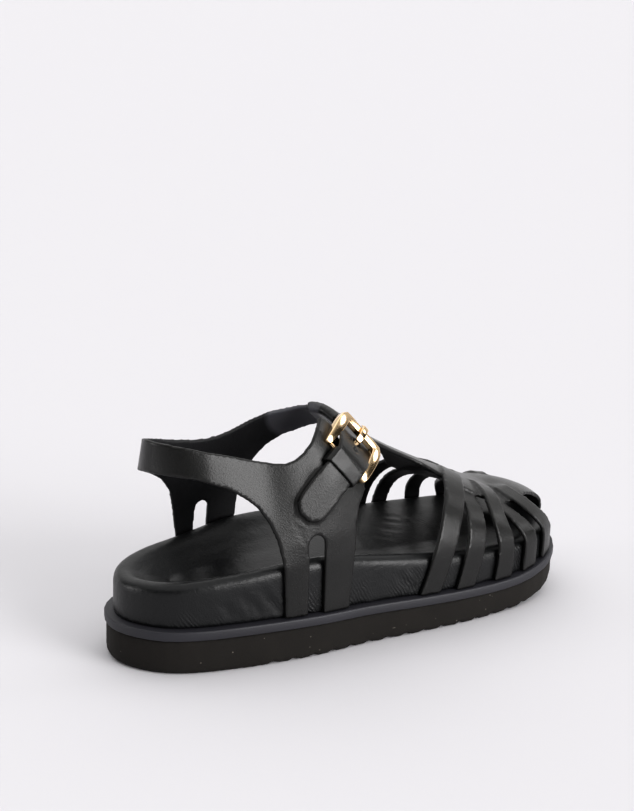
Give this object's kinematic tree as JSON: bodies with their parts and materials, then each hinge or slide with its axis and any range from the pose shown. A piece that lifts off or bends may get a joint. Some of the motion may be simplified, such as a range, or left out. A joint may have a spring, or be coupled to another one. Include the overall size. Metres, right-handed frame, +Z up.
{
  "type": "fisherman sandal",
  "caption": "Closed-toe fisherman sandal for a right foot: woven leather straps, T-bar, buckled ankle strap, wrapped footbed, proud welt and a thick rippled sole.",
  "frame": {"origin": "on the floor under the middle of the sole, half way between the ends of the sole", "axes": "+Z up, +X towards the toe, so that the outer side of the foot faces -Y"},
  "size_m": [0.267, 0.1011, 0.1147],
  "materials": {
    "upper_leather": "smooth black leather with a soft sheen",
    "footbed_leather": "soft grained black leather, lightly creased",
    "welt_rubber": "satin charcoal grey",
    "sole_rubber": "matte black foam rubber",
    "buckle_metal": "polished pale gold"
  },
  "bodies": {
    "root": {"outsole": "sole_rubber", "midsole_welt": "welt_rubber", "footbed": "footbed_leather", "upper": "upper_leather", "buckle_frame": "buckle_metal", "buckle_prong": "buckle_metal", "strap_keeper": "upper_leather"}
  },
  "joints": []
}
